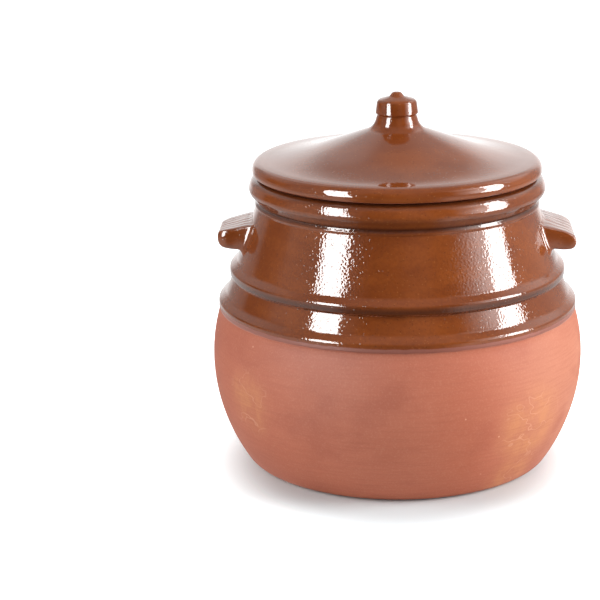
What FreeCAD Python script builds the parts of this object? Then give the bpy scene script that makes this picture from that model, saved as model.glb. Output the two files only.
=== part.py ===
import FreeCAD, Part
import math
import os

# Wheel-thrown earthenware cooking pot with two lug ears and a loose lid.
# Millimetres, +Z up. The origin is the centre of the base, and the ears lie along X.
# Every round piece is a section in the XZ plane, drawn from the base upwards and
# turned about Z, so a change of one size carries all that stands above it.

# Belly and base
belly_radius = 135.0
belly_height = 78.0
lower_belly_arc = 131.5
upper_belly_arc = 117.0
base_edge_round = 10.0
wall = 7.0
floor_thickness = 8.0
floor_corner_round = 16.0
inner_shoulder_rise = 20.0
border_height = 113.2

# The two thrown collars, each with a soft lip below and a small shelf above
lower_collar_proud = 0.8
upper_collar_proud = 2.1
collar_under = 2.1
collar_height = 7.3
shelf_run = 5.6
shelf_rise = 4.1
collar_under_round = 1.4
collar_crest_round = 2.2
shelf_round = 5.0
band_height = 12.6
band_taper = 5.0
notch_round = 0.7

# Neck, from the upper collar to the small ridge under the rim
neck_height = 40.2
neck_taper = 14.2
ridge_proud = 0.8
ridge_slope = 1.1
ridge_flat = 1.0
ridge_round = 0.5
groove_depth = 0.7
groove_rise = 1.8

# Rim bead and the ledge inside the mouth
rim_overhang = 5.8
rim_height = 18.4
rim_waist_rise = 8.3
rim_lean = 3.5
rim_thickness = 15.1
rim_waist_round = 5.0
rim_shoulder_round = 8.0
rim_inner_round = 4.0
ledge_depth = 10.0
ledge_width = 2.2
ledge_slope = 1.2
ledge_round = 0.9

# Glaze coats
glaze = 0.4

# Ears: squared tabs of pulled clay, pressed onto the neck by hand, so they droop unequally
ear_width = 55.0
ear_projection = 23.6
ear_drop = 10.7
ear_tip_thickness = 12.4
ear_root_thickness = 27.0
ear_nose_length = 13.0
ear_corner_round = 8.0
ear_top_round = 2.6
ear_nose_round = 7.2
ear_under_round = 10.0
ear_root_depth = 14.0
ear_droops = {"ear_handle_left": 14.0, "ear_handle_right": 21.0}
ear_directions = {"ear_handle_left": 180.0, "ear_handle_right": 0.0}

# Lid: a rolled edge, a nearly level brim with a hollow foot, and a straight cone up to the knob
seat_clearance = 0.3
lid_setback = 2.9
lid_edge_lift = 0.9
lid_edge_height = 8.9
lid_edge_draft = 0.6
lid_edge_round = 6.2
lid_bottom_round = 1.2
seat_inset = 4.4
brim_width = 29.5
brim_rise = 2.2
cone_foot_round = 130.0
cone_rise = 21.1
lid_wall = 7.0
lid_underside_foot_run = 12.0
lid_underside_foot_round = 30.0
lid_underside_round = 6.0
hollow_radius = 22.0
hollow_roof = 9.6
hollow_round = 12.0

# Flange that keeps the lid on the mouth
flange_clearance = 2.1
flange_width = 6.0
flange_depth = 12.0
flange_round = 2.0
seat_round = 0.7

# Knob
knob_foot_radius = 16.9
knob_foot_round = 10.0
knob_seam_radius = 23.0
knob_stem_radius = 14.7
knob_stem_height = 7.7
knob_groove_depth = 0.6
knob_groove_rise = 1.4
knob_head_radius = 15.5
knob_head_height = 9.4
knob_head_taper = 1.3
knob_head_round = 3.5
knob_crown_rise = 2.3
knob_tip_radius = 5.4
knob_tip_taper = 2.4
knob_tip_height = 3.2
knob_tip_foot_round = 1.2
knob_tip_round = 2.6
knob_small_round = 0.7

# Sections run this far past the axis, and regions outside a skin this far beyond it
axis_overrun = 3.0
outside_margin = 30.0


def point(radius, height):
    return FreeCAD.Vector(radius, 0, height)


def line(start, end):
    return Part.LineSegment(start, end).toShape()


def corner_arc(before, corner, after, radius):
    """Start, middle and end of the arc that rounds a corner between two straight runs."""
    towards_before = (before - corner).normalize()
    towards_after = (after - corner).normalize()
    half_angle = towards_before.getAngle(towards_after) / 2
    reach = radius / math.tan(half_angle)
    inwards = (towards_before + towards_after).normalize()
    centre = corner + inwards * (radius / math.sin(half_angle))
    return corner + towards_before * reach, centre - inwards * radius, corner + towards_after * reach


def rounded_path(stations):
    """Edges of a run of straight lines whose corners are rounded.

    Each station is a radius, a height and the round of that corner.
    """
    corners = [point(radius, height) for radius, height, _ in stations]
    edges = []
    cursor = corners[0]
    for index in range(1, len(corners) - 1):
        start, middle, end = corner_arc(
            corners[index - 1], corners[index], corners[index + 1], stations[index][2])
        edges.append(line(cursor, start))
        edges.append(Part.Arc(start, middle, end).toShape())
        cursor = end
    edges.append(line(cursor, corners[-1]))
    return edges


def arc_on_circle(centre, radius, start, end):
    """The shorter arc of a circle between two of its points."""
    middle = ((start - centre) + (end - centre)).normalize()
    return Part.Arc(start, centre + middle * radius, end).toShape()


def floor_round(centre, radius, floor_height, rounding):
    """Where an arc inside a circle touches a level floor and the circle, and its edge."""
    arc_height = floor_height + rounding
    reach = math.sqrt((radius - rounding) ** 2 - (centre.z - arc_height) ** 2)
    arc_centre = point(centre.x + reach, arc_height)
    on_floor = point(arc_centre.x, floor_height)
    on_circle = centre + (arc_centre - centre).normalize() * radius
    return on_floor, on_circle, arc_on_circle(arc_centre, rounding, on_floor, on_circle)


def face(edges):
    return Part.Face(Part.Wire(Part.__sortEdges__(edges)))


def polygon(corners):
    return Part.Face(Part.makePolygon(corners + corners[:1]))


def turned(section):
    """The solid that a section makes when it is turned about Z."""
    solid = section.revolve(FreeCAD.Vector(0, 0, 0), FreeCAD.Vector(0, 0, 1), 360)
    return solid.removeSplitter()


# The outside of the pot, from the base to the top of the rim
lower_centre = point(belly_radius - lower_belly_arc, belly_height)
upper_centre = point(belly_radius - upper_belly_arc, belly_height)
belly = point(belly_radius, belly_height)
base_edge, wall_foot, base_round_edge = floor_round(
    lower_centre, lower_belly_arc, 0, base_edge_round)
border_rise = border_height - belly_height
border_radius = upper_centre.x + math.sqrt(upper_belly_arc ** 2 - border_rise ** 2)
border = point(border_radius, border_height)


def collar(foot_radius, foot_height, proud):
    """Corners of one thrown collar, and the radius and height where the wall goes on."""
    crest_radius = foot_radius + proud
    crest_height = foot_height + collar_height
    corners = [
        (crest_radius, foot_height + collar_under, collar_under_round),
        (crest_radius, crest_height, collar_crest_round),
        (crest_radius - shelf_run, crest_height + shelf_rise, shelf_round),
    ]
    return corners, crest_radius - shelf_run, crest_height + shelf_rise


lower_collar, band_radius, band_foot_height = collar(
    border_radius, border_height, lower_collar_proud)
notch_radius = band_radius - band_taper
notch_height = band_foot_height + band_height
upper_collar, neck_foot_radius, neck_foot_height = collar(
    notch_radius, notch_height, upper_collar_proud)
neck_top_radius = neck_foot_radius - neck_taper
neck_top_height = neck_foot_height + neck_height
ridge_radius = neck_top_radius + ridge_proud
ridge_height = neck_top_height + ridge_slope
groove_radius = neck_top_radius - groove_depth
groove_height = ridge_height + ridge_flat + groove_rise
rim_radius = neck_top_radius + rim_overhang
rim_top = groove_height + rim_height
mouth_radius = rim_radius - rim_thickness
lean_angle = math.atan2(rim_lean, rim_height - rim_waist_rise)
shoulder_run = rim_lean + rim_shoulder_round * math.tan(math.pi / 4 - lean_angle / 2)
crest_radius = (rim_radius - shoulder_run + mouth_radius + rim_inner_round) / 2
crest = point(crest_radius, rim_top)

belly_skin = [
    line(point(-axis_overrun, 0), base_edge),
    base_round_edge,
    arc_on_circle(lower_centre, lower_belly_arc, wall_foot, belly),
    arc_on_circle(upper_centre, upper_belly_arc, belly, border),
]
glazed_skin = rounded_path(
    [(border_radius, border_height, 0)]
    + lower_collar
    + [(notch_radius, notch_height, notch_round)]
    + upper_collar
    + [
        (neck_top_radius, neck_top_height, ridge_round),
        (ridge_radius, ridge_height, ridge_round),
        (ridge_radius, ridge_height + ridge_flat, ridge_round),
        (groove_radius, groove_height, ridge_round),
        (rim_radius, groove_height + rim_waist_rise, rim_waist_round),
        (rim_radius - rim_lean, rim_top, rim_shoulder_round),
        (crest_radius, rim_top, 0),
    ])

# The inside of the pot, from the top of the rim to the floor
neck_lean = math.atan2(neck_taper, neck_height)
neck_step = wall / math.cos(neck_lean)
ledge_height = rim_top - ledge_depth
ledge_radius = mouth_radius - ledge_width
inner_upper_arc = upper_belly_arc - wall
inner_lower_arc = lower_belly_arc - wall


inner_neck_top = point(neck_top_radius - neck_step, neck_top_height)
inner_shoulder_height = border_height + inner_shoulder_rise
shoulder_reach = math.sqrt(inner_upper_arc ** 2 - (inner_shoulder_height - belly_height) ** 2)
inner_shoulder = point(upper_centre.x + shoulder_reach, inner_shoulder_height)
inner_belly = point(belly_radius - wall, belly_height)
floor_edge, inner_wall_foot, floor_round_edge = floor_round(
    lower_centre, inner_lower_arc, floor_thickness, floor_corner_round)
inner_skin = rounded_path([
    (crest_radius, rim_top, 0),
    (mouth_radius, rim_top, rim_inner_round),
    (mouth_radius, ledge_height, ledge_round),
    (ledge_radius, ledge_height - ledge_slope, ledge_round),
    (inner_neck_top.x, inner_neck_top.z, rim_inner_round),
    (inner_shoulder.x, inner_shoulder.z, 0),
]) + [
    arc_on_circle(upper_centre, inner_upper_arc, inner_shoulder, inner_belly),
    arc_on_circle(lower_centre, inner_lower_arc, inner_belly, inner_wall_foot),
    floor_round_edge,
    line(floor_edge, point(-axis_overrun, floor_thickness)),
]
axis_side = line(point(-axis_overrun, floor_thickness), point(-axis_overrun, 0))
right_of_axis = polygon([
    point(0, -outside_margin), point(belly_radius + 2 * outside_margin, -outside_margin),
    point(belly_radius + 2 * outside_margin, 2 * rim_top), point(0, 2 * rim_top)])


def coat(section, region):
    """The skin of a section, one glaze thick, along the region that borders it."""
    return section.common(region.makeOffset2D(glaze)).common(right_of_axis)


def outside_region(skin, start, end):
    """The space outside a skin that runs from a low start to a high end."""
    far = belly_radius + outside_margin
    above = end.z + outside_margin
    sides = [start, point(far, start.z), point(far, above), point(end.x, above), end]
    return face(skin + [line(sides[i], sides[i + 1]) for i in range(len(sides) - 1)])


pot_section = face(belly_skin + glazed_skin + inner_skin + [axis_side])
cavity = face(inner_skin + [
    line(point(-axis_overrun, floor_thickness), point(-axis_overrun, rim_top)),
    line(point(-axis_overrun, rim_top), crest)])
outer_coat_section = coat(pot_section, outside_region(glazed_skin, border, crest))
inner_coat_section = coat(pot_section, cavity).cut(outer_coat_section)
clay_section = pot_section.common(right_of_axis).cut(outer_coat_section).cut(inner_coat_section)

pot_wall = turned(clay_section)
outer_coat = turned(outer_coat_section)
inner_glaze = turned(inner_coat_section)


# Ears
def neck_radius(height):
    return neck_foot_radius - math.tan(neck_lean) * (height - neck_foot_height)


ear_top = neck_top_height - ear_drop
ear_root = neck_radius(ear_top)
ear_tip = ear_root + ear_projection


def ear_blank():
    """One ear along +X before it is tilted and cut to the wall."""
    inner = ear_root - ear_root_depth
    half = ear_width / 2
    tip_bottom = ear_top - ear_tip_thickness
    side = rounded_path([
        (inner, ear_top, 0),
        (ear_tip, ear_top, ear_top_round),
        (ear_tip, tip_bottom, ear_nose_round),
        (ear_tip - ear_nose_length, tip_bottom, ear_under_round),
        (inner, ear_top - ear_root_thickness - ear_root_depth, 0),
    ])
    side.append(line(point(inner, ear_top - ear_root_thickness - ear_root_depth), point(inner, ear_top)))
    slab = face(side).extrude(FreeCAD.Vector(0, ear_width, 0))
    slab.translate(FreeCAD.Vector(0, -half, 0))
    plan = rounded_path([
        (inner, half, 0),
        (ear_tip, half, ear_corner_round),
        (ear_tip, -half, ear_corner_round),
        (inner, -half, 0),
    ])
    plan.append(line(point(inner, -half), point(inner, half)))
    outline = face(plan)
    outline.rotate(FreeCAD.Vector(0, 0, 0), FreeCAD.Vector(1, 0, 0), -90)
    depth = 2 * (ear_root_thickness + ear_root_depth)
    outline.translate(FreeCAD.Vector(0, 0, ear_top - depth))
    return slab.common(outline.extrude(FreeCAD.Vector(0, 0, 2 * depth)))


def ear(name):
    blank = ear_blank()
    blank.rotate(point(ear_root, ear_top), FreeCAD.Vector(0, 1, 0), ear_droops[name])
    blank.rotate(FreeCAD.Vector(0, 0, 0), FreeCAD.Vector(0, 0, 1), ear_directions[name])
    return blank


solid_pot_section = face(belly_skin + glazed_skin + [
    line(crest, point(-axis_overrun, rim_top)),
    line(point(-axis_overrun, rim_top), point(-axis_overrun, 0))])
filled_clay = turned(solid_pot_section.common(right_of_axis).cut(outer_coat_section))
blanks = {name: ear(name) for name in ear_droops}
ears = {name: blank.cut(filled_clay) for name, blank in blanks.items()}
outer_glaze = outer_coat
for blank in blanks.values():
    outer_glaze = outer_glaze.cut(blank)

# The lid, from the seat on the rim to the tip of the knob
seat_height = rim_top + seat_clearance
lid_radius = rim_radius - lid_setback
edge_bottom = seat_height + lid_edge_lift
edge_top = edge_bottom + lid_edge_height
cone_foot_radius = lid_radius - brim_width
cone_foot_height = edge_top + brim_rise
knob_foot_height = cone_foot_height + cone_rise
cone_slope = cone_rise / (cone_foot_radius - knob_foot_radius)
knob_seam_height = knob_foot_height - cone_slope * (knob_seam_radius - knob_foot_radius)
hollow_height = knob_foot_height - hollow_roof
stem_top = knob_foot_height + knob_stem_height
groove_level = stem_top + knob_groove_rise
head_bottom = groove_level + knob_groove_rise
head_top = head_bottom + knob_head_height
tip_foot = head_top + knob_crown_rise
tip_top = tip_foot + knob_tip_height

lip_start = point(lid_radius - seat_inset, edge_bottom)
lid_skin = rounded_path([
    (lip_start.x, lip_start.z, 0),
    (lid_radius - lid_edge_draft, edge_bottom, lid_bottom_round),
    (lid_radius, edge_top, lid_edge_round),
    (cone_foot_radius, cone_foot_height, cone_foot_round),
    (knob_foot_radius, knob_foot_height, knob_foot_round),
    (knob_stem_radius, stem_top, knob_small_round),
    (knob_stem_radius - knob_groove_depth, groove_level, knob_small_round),
    (knob_head_radius, head_bottom, knob_small_round),
    (knob_head_radius - knob_head_taper, head_top, knob_head_round),
    (knob_tip_radius, tip_foot, knob_tip_foot_round),
    (knob_tip_radius - knob_tip_taper, tip_top, knob_tip_round),
    (-axis_overrun, tip_top, 0),
])
flange_radius = ledge_radius - flange_clearance
flange_inner = flange_radius - flange_width
flange_bottom = seat_height - flange_depth
lid_underside = rounded_path([
    (-axis_overrun, hollow_height, 0),
    (hollow_radius, hollow_height, hollow_round),
    (flange_inner - lid_underside_foot_run, cone_foot_height - lid_wall, lid_underside_foot_round),
    (flange_inner, edge_top + brim_rise / 2 - lid_wall, lid_underside_round),
    (flange_inner, flange_bottom, flange_round),
    (flange_radius, flange_bottom, flange_round),
    (flange_radius, seat_height, seat_round),
    (lip_start.x - lid_edge_lift, seat_height, seat_round),
    (lip_start.x, lip_start.z, 0),
])
lid_axis = line(point(-axis_overrun, tip_top), point(-axis_overrun, hollow_height))
lid_section = face(lid_skin + lid_underside + [lid_axis])
lid_outside = face(lid_skin + [
    line(point(-axis_overrun, tip_top), point(-axis_overrun, tip_top + outside_margin)),
    line(point(-axis_overrun, tip_top + outside_margin),
         point(lid_radius + outside_margin, tip_top + outside_margin)),
    line(point(lid_radius + outside_margin, tip_top + outside_margin),
         point(lid_radius + outside_margin, edge_bottom - outside_margin)),
    line(point(lid_radius + outside_margin, edge_bottom - outside_margin),
         point(lip_start.x, edge_bottom - outside_margin)),
    line(point(lip_start.x, edge_bottom - outside_margin), lip_start)])
lid_coat_section = coat(lid_section, lid_outside)
lid_clay_section = lid_section.common(right_of_axis).cut(lid_coat_section)
above_knob_seam = polygon([
    point(-axis_overrun, knob_seam_height), point(knob_seam_radius, knob_seam_height),
    point(knob_seam_radius, tip_top), point(-axis_overrun, tip_top)])

nodes = {
    "pot_wall": pot_wall,
    "inner_glaze": inner_glaze,
    "outer_glaze": outer_glaze,
    "lid_plate": turned(lid_clay_section.cut(above_knob_seam)),
    "lid_knob": turned(lid_clay_section.common(above_knob_seam)),
    "lid_glaze": turned(lid_coat_section),
}
nodes.update(ears)

os.makedirs("parts", exist_ok=True)
for name, shape in nodes.items():
    shape.exportStep(os.path.join("parts", name + ".step"))
    box = shape.optimalBoundingBox()
    print(name, shape.isValid(), "solids", len(shape.Solids), "volume %.0f" % shape.Volume,
          "box %.1f %.1f %.1f to %.1f %.1f %.1f" % (
              box.XMin, box.YMin, box.ZMin, box.XMax, box.YMax, box.ZMax))
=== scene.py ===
# %% [markdown]
# # A lidded earthenware cooking pot
#
# The real pot is thrown on a wheel, dipped in glaze down to its belly and fired once. Its lid is
# thrown apart and lies loose on the rim. This lesson rebuilds what the eye sees: the bare clay,
# the honey-brown glaze with its orange peel and pinholes, and the two ears pressed on by hand.
#
# The measured frame comes first. It holds every solid at its real place, in metres, and nothing
# in it is moved. Each visible piece is then modelled anew, inside the frame's box, at a finer
# detail than the solids have.

import math

import bmesh
import bpy
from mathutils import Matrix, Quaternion, Vector


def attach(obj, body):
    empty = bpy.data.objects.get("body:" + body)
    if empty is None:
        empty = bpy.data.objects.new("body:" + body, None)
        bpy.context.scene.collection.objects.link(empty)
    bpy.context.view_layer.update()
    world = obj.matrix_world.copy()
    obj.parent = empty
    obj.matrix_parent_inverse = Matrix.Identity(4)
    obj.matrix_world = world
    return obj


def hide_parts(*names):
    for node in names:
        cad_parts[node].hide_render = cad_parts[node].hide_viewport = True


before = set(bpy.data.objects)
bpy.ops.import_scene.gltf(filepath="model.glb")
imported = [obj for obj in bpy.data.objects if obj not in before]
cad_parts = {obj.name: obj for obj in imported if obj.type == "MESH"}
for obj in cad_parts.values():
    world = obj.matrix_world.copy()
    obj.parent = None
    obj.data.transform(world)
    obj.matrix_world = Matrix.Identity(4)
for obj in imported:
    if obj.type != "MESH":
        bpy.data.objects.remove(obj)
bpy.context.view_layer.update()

# %% [markdown]
# ## The camera
#
# The pot is seen from a little above, by a long lens that flattens it. The camera stands straight
# in front of the pot and is swung to the left until the pot stands right of the middle, as in the
# photograph. Shifting the lens would place it as well, but a swing is what a real camera does, and
# it draws the pot with the same slight skew. A small roll then stands the pot's axis upright.

# %% Camera
view_elevation = math.radians(16.0)
view_distance = 1.5
aim_height = 0.115
picture_pixels = 600
focal_pixels = 2038
axis_column = 396.6
sensor_width = 36.0

aim_offset = (axis_column - picture_pixels / 2) * view_distance / focal_pixels
upright_roll = math.atan(aim_offset / view_distance) * math.sin(view_elevation)
camera_place = Vector((
    0,
    -view_distance * math.cos(view_elevation),
    aim_height + view_distance * math.sin(view_elevation)))
aim = Vector((-aim_offset, 0, aim_height))
camera_turn = (aim - camera_place).to_track_quat("-Z", "Y")
camera_turn = camera_turn @ Quaternion((0, 0, 1), -upright_roll)
bpy.ops.object.select_all(action="DESELECT")
bpy.ops.object.camera_add(location=camera_place, rotation=camera_turn.to_euler())
camera = bpy.context.object
camera.data.sensor_width = sensor_width
camera.data.lens = sensor_width * focal_pixels / picture_pixels
bpy.context.scene.camera = camera
bpy.context.scene.view_settings.view_transform = "Standard"
print("camera: lens %.1f mm, %.2f m away" % (camera.data.lens, view_distance))

# %% [markdown]
# ## Building with nodes
#
# Every finish here is worked out by nodes. Small helpers keep that readable: the first adds a node
# and fills its inputs, the next ones do sums, fades and mixes, and the last open and place groups.

# %% Node helpers
def add_node(tree, kind, settings=None, inputs=None):
    """Add a shader node. An input is a value or the output socket of another node."""
    node = tree.nodes.new("ShaderNode" + kind)
    for name, value in (settings or {}).items():
        setattr(node, name, value)
    for name, value in (inputs or {}).items():
        if isinstance(value, bpy.types.NodeSocket):
            tree.links.new(value, node.inputs[name])
        else:
            node.inputs[name].default_value = value
    return node


def math_node(tree, operation, *values):
    """The result of a calculation on one, two or three values."""
    node = add_node(tree, "Math", {"operation": operation}, dict(enumerate(values)))
    return node.outputs[0]


def fade(tree, value, start, end, low=0.0, high=1.0):
    """A smooth step from low, where the value is at start, to high, where it is at end."""
    node = add_node(
        tree, "MapRange", {"interpolation_type": "SMOOTHSTEP"},
        {"Value": value, "From Min": start, "From Max": end, "To Min": low, "To Max": high})
    return node.outputs["Result"]


def vector_math(tree, operation, *vectors):
    """The outputs, Vector and Value, of a calculation on vectors."""
    return add_node(
        tree, "VectorMath", {"operation": operation}, dict(enumerate(vectors))).outputs


def parts(tree, vector):
    """The X, Y and Z outputs of a vector's parts."""
    return add_node(tree, "SeparateXYZ", None, {0: vector}).outputs


def own_place(tree):
    """Where a point is on its own piece, in metres."""
    return add_node(tree, "TexCoord").outputs["Object"]


def noise(tree, place, scale, detail, roughness=0.5):
    """Soft random values, around a half, over space."""
    return add_node(tree, "TexNoise", None, {
        "Vector": place, "Scale": scale, "Detail": detail,
        "Roughness": roughness}).outputs["Fac"]


def mix_value(tree, share, first, second):
    node = add_node(tree, "Mix", None, {"Factor": share, "A": first, "B": second})
    return node.outputs[0]


def mix_colour(tree, share, first, second):
    node = add_node(tree, "Mix", {"data_type": "RGBA"}, {"Factor": share, 6: first, 7: second})
    return node.outputs[2]


def tint(tree, colour, mask, share, second):
    """Lay a second colour over the first where a mask is, at most by a share."""
    return mix_colour(tree, math_node(tree, "MULTIPLY", mask, share), colour, second)


def open_group(name, inputs, outputs):
    """A node group with number inputs, given with their usual values, and typed outputs.

    Handed back with it are the sockets that it is given and those that it puts out.
    """
    group = bpy.data.node_groups.new(name, "ShaderNodeTree")
    for label, value in inputs.items():
        socket = group.interface.new_socket(label, in_out="INPUT", socket_type="NodeSocketFloat")
        socket.default_value = value
    for label, kind in outputs.items():
        group.interface.new_socket(label, in_out="OUTPUT", socket_type="NodeSocket" + kind)
    given = group.nodes.new("NodeGroupInput").outputs
    return group, given, group.nodes.new("NodeGroupOutput").inputs


def place_group(tree, group, inputs=None):
    """The outputs of a group that is placed in a tree, with its own values where given."""
    node = add_node(tree, "Group", {"node_tree": group}, inputs)
    return node.outputs


def open_material(name):
    """A new material, and its tree, which is empty."""
    material = bpy.data.materials.new(name)
    material.use_nodes = True
    material.node_tree.nodes.clear()
    return material, material.node_tree


print("node helpers ready")

# %% [markdown]
# ## The studio
#
# The glaze is a mirror, so half of its look is the room. The room is pale behind the pot and dark
# behind the camera. The world carries its walls, as a ramp of brightness round the compass, and
# only glossy rays see them: the camera sees plain white, and matt surfaces get an even light.
#
# Lamps could do both jobs at once, but then every change to a highlight would change the clay as
# well. So two tall softboxes are seen in mirrors only, and the fills light matt surfaces only.

# %% Studio walls
low_walls = [
    (-180, 1.52), (-159, 1.40), (-153, 0.50), (-125, 0.34), (-119, 0.07), (-106, 0.10),
    (-95, 0.21), (-90, 0.45), (-62, 0.43), (-36, 0.48), (-31, 0.27), (-24, 0.10), (-20, 0.00),
    (5, 0.02), (10, 0.13), (26, 0.11), (32, 0.05), (45, 0.10), (50, 0.72), (57, 1.84),
    (63, 3.68), (68, 4.96), (84, 3.20), (91, 0.72), (103, 0.53), (142, 0.53), (150, 0.76),
    (158, 1.44), (180, 1.52)]
high_walls = [
    (-180, 0.53), (-170, 0.59), (-161, 1.12), (-150, 1.08), (-141, 0.64), (-112, 0.56),
    (-104, 0.36), (-90, 0.42), (-62, 0.42), (-36, 0.32), (-24, 0.04), (2, 0.08), (8, 0.16),
    (25, 0.16), (30, 0.03), (48, 0.06), (56, 0.80), (64, 1.28), (72, 2.56), (82, 3.68),
    (94, 0.96), (104, 1.04), (112, 1.28), (126, 1.28), (142, 1.60), (150, 1.28), (157, 0.76),
    (168, 0.58), (180, 0.53)]
brightest_wall = 4.96
wall_blend = (0.28, 0.55)
ceiling_blend = (0.70, 0.88)
ceiling_level = 0.32
even_light = 0.25
plain_white = 1.0

world = bpy.data.worlds.new("studio")
world.use_nodes = True
bpy.context.scene.world = world
room = world.node_tree
room.nodes.clear()
east, north, up = parts(room, add_node(room, "TexCoord").outputs["Generated"])
compass = math_node(room, "ARCTAN2", east, math_node(room, "MULTIPLY", north, -1.0))
turn_share = math_node(room, "MULTIPLY_ADD", compass, 1 / math.tau, 0.5)


def wall_band(levels):
    """Brightness round the compass, at one height of the walls."""
    ramp = add_node(room, "ValToRGB", None, {"Fac": turn_share})
    stops = ramp.color_ramp.elements
    for degrees, level in levels[1:-1]:
        stops.new(degrees / 360 + 0.5)
    for stop, (degrees, level) in zip(stops, levels):
        stop.color = [level / brightest_wall] * 3 + [1]
    return math_node(room, "MULTIPLY", ramp.outputs["Color"], brightest_wall)


walls = mix_value(room, fade(room, up, *wall_blend), wall_band(low_walls), wall_band(high_walls))
mirrored_room = mix_value(room, fade(room, up, *ceiling_blend), walls, ceiling_level)
room_rays = add_node(room, "LightPath").outputs
sees_mirror = math_node(
    room, "MAXIMUM", room_rays["Is Glossy Ray"], room_rays["Is Transmission Ray"])
not_camera = mix_value(room, sees_mirror, even_light, mirrored_room)
strength = mix_value(room, room_rays["Is Camera Ray"], not_camera, plain_white)
add_node(room, "OutputWorld", None, {
    "Surface": add_node(room, "Background", None, {
        "Color": (1, 1, 1, 1), "Strength": strength}).outputs[0]})
print("studio walls:", len(low_walls), "and", len(high_walls), "levels round the compass")

# %% Softboxes
softbox_distance = 1.7
overhead_height = 2.4
overhead_size = 2.0
overhead_power = 8


def softbox(name, compass_degrees, width, height, power, lowest=0.3, roll_degrees=0,
            in_mirrors=False):
    """A lamp that faces the pot, seen in mirrors only or lighting matt surfaces only.

    The compass is 0 towards the camera and grows to the right. A roll turns the lamp in its own
    plane: above 0 on the left, or below 0 on the right, it leans the top back.
    """
    bearing = math.radians(compass_degrees)
    place = Vector((
        softbox_distance * math.sin(bearing), -softbox_distance * math.cos(bearing),
        lowest + height / 2))
    facing = Vector((-place.x, -place.y, 0)).to_track_quat("-Z", "Y")
    lean = Quaternion((0, 0, 1), math.radians(roll_degrees))
    bpy.ops.object.light_add(
        type="AREA", location=place, rotation=(facing @ lean).to_euler())
    lamp = bpy.context.object
    lamp.name = name
    lamp.data.shape = "RECTANGLE"
    lamp.data.size = width
    lamp.data.size_y = height
    lamp.data.energy = power
    lamp.visible_camera = False
    lamp.visible_glossy = in_mirrors
    lamp.visible_diffuse = not in_mirrors
    return lamp


softboxes = [
    softbox("left_softbox", -50.5, 0.61, 2.30, 85, lowest=0.0, roll_degrees=13, in_mirrors=True),
    softbox("right_softbox", 85.0, 0.56, 2.05, 58, lowest=0.0, roll_degrees=-18, in_mirrors=True),
    softbox("left_fill", -75, 0.9, 1.6, 23),
    softbox("right_fill", 78, 0.9, 1.6, 48),
    softbox("front_fill", -4, 1.2, 0.7, 5, lowest=0.05)]
bpy.ops.object.light_add(type="AREA", location=(0, 0, overhead_height))
overhead = bpy.context.object
overhead.name = "overhead_fill"
overhead.data.shape = "SQUARE"
overhead.data.size = overhead_size
overhead.data.energy = overhead_power
overhead.visible_camera = False
overhead.visible_glossy = False
print("lamps:", [lamp.name for lamp in softboxes + [overhead]])

# %% [markdown]
# ## The floor
#
# A plain white sheet that runs far out on all sides. What the camera sees of it gets a glow that
# grows with the distance from the pot, so that the sheet turns white beyond the soft shadow round
# the base. The glaze sees a sheet that is dark in front, white beside and behind the pot, and
# further off as bright as the walls that it runs up to.

# %% Floor
floor_size = 12.0
paper_colour = (0.700, 0.765, 0.787, 1)
shadow_squeeze = (1.17, 1.0, 1.0)
shadow_centre = (0, -0.022, 0)
shadow_edge = (0.106, 0.184)
shadow_glow = (0.0, 1.0)
near_level = 0.95
far_edge = (0.70, 1.30)
front_edge = (-0.92, -0.72)
front_share = (0.10, 1.0)
behind_edge = (0.80, 0.93)
behind_glow = (0.42, 1.50)
bpy.ops.object.select_all(action="DESELECT")
bpy.ops.mesh.primitive_plane_add(size=floor_size)
floor = bpy.context.object
floor.name = "floor"
paper, sheet = open_material("white_paper")
matt = add_node(sheet, "BsdfDiffuse", None, {"Color": paper_colour})
floor_place = own_place(sheet)
distance = vector_math(sheet, "LENGTH", floor_place)["Value"]
squeezed = vector_math(sheet, "MULTIPLY", floor_place, shadow_squeeze)["Vector"]
from_shadow = vector_math(sheet, "DISTANCE", squeezed, shadow_centre)["Value"]
glow = add_node(sheet, "Emission", None, {
    "Strength": fade(sheet, from_shadow, *shadow_edge, *shadow_glow)})
lifted = add_node(sheet, "AddShader", None, {0: matt.outputs[0], 1: glow.outputs[0]})
behind = math_node(sheet, "DIVIDE", parts(sheet, floor_place)["Y"], distance)
lit_sheet = mix_value(
    sheet, fade(sheet, distance, *far_edge), near_level,
    fade(sheet, behind, *behind_edge, *behind_glow))
mirrored_sheet = add_node(sheet, "Emission", None, {
    "Strength": math_node(
        sheet, "MULTIPLY", lit_sheet, fade(sheet, behind, *front_edge, *front_share))})
sheet_rays = add_node(sheet, "LightPath").outputs
shown = add_node(sheet, "MixShader", None, {
    0: sheet_rays["Is Camera Ray"], 1: matt.outputs[0], 2: lifted.outputs[0]})
shown = add_node(sheet, "MixShader", None, {
    0: sheet_rays["Is Glossy Ray"], 1: shown.outputs[0], 2: mirrored_sheet.outputs[0]})
add_node(sheet, "OutputMaterial", None, {"Surface": shown.outputs[0]})
floor.data.materials.append(paper)
print("floor: %.0f m wide" % floor_size)

# %% [markdown]
# ## Turning a section
#
# A potter shapes the wall of a spinning pot with two hands, and what is left is a section turned
# about an axis. The same is done here: a single vertex is walked from corner to corner with
# extrude, the corners are rounded with bevel, long runs are cut up with subdivide, and spin
# carries the line round the axis.

# %% Turning helpers
mm = 0.001
turn_steps = 240
round_segments = 6
longest_run = 6 * mm
touching = 1e-7
smooth_angle = math.radians(40)


def choose(piece, test):
    """Select, in edit mode, the vertices that pass a test on their place."""
    mesh = bmesh.from_edit_mesh(piece.data)
    for vertex in mesh.verts:
        vertex.select = test(vertex.co)
    mesh.select_flush_mode()
    bmesh.update_edit_mesh(piece.data)


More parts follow.
